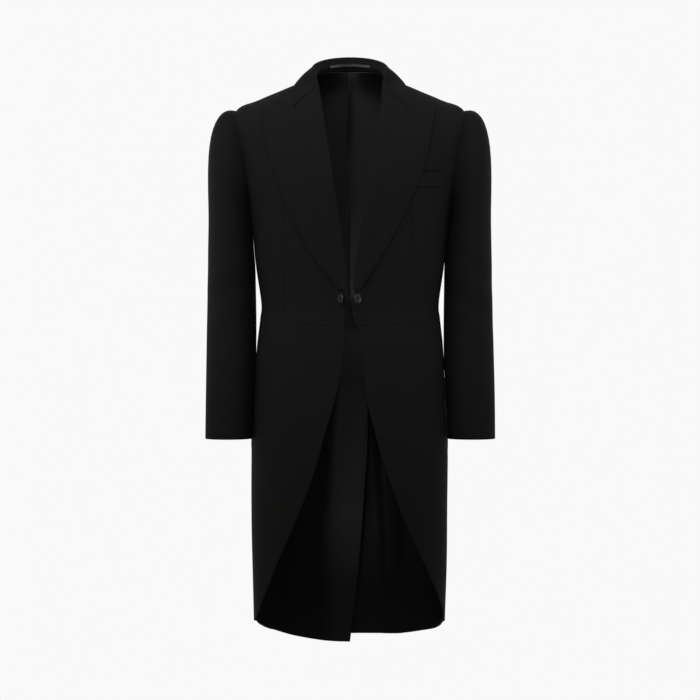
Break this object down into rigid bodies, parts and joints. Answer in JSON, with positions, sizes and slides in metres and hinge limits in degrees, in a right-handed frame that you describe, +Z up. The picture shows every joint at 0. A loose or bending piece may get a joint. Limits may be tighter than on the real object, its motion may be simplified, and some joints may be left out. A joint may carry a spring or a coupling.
{
  "type": "morning coat",
  "caption": "Black wool morning coat with peaked lapels, linked front, cutaway skirts and long tails, filled out and hollow.",
  "frame": {"origin": "midway between the neck ends of the two shoulder seams, where a hanger or a figure carries the coat", "axes": "+X to the wearer's left, -Y out of the chest, +Z up from hem to collar"},
  "size_m": [0.553, 0.2959, 1.1616],
  "materials": {
    "wool": "black wool cloth, matt with a faint nap",
    "lining": "dark satin lining with a soft sheen",
    "horn": "dark horn, half gloss",
    "thread": "black thread wound round a cord"
  },
  "bodies": {
    "root": {"front_left": "wool", "side_body_left": "wool", "back_left": "wool", "skirt_left": "wool", "sleeve_top_left": "wool", "sleeve_under_left": "wool", "lapel_left": "wool", "lining_back_left": "lining", "lining_skirt_left": "lining", "link_button_left": "horn", "waist_button_left": "horn", "front_right": "wool", "side_body_right": "wool", "back_right": "wool", "skirt_right": "wool", "sleeve_top_right": "wool", "sleeve_under_right": "wool", "lapel_right": "wool", "lining_back_right": "lining", "lining_skirt_right": "lining", "link_button_right": "horn", "waist_button_right": "horn", "collar": "wool", "breast_welt": "wool", "hanger_loop": "lining", "link": "thread"}
  },
  "joints": []
}
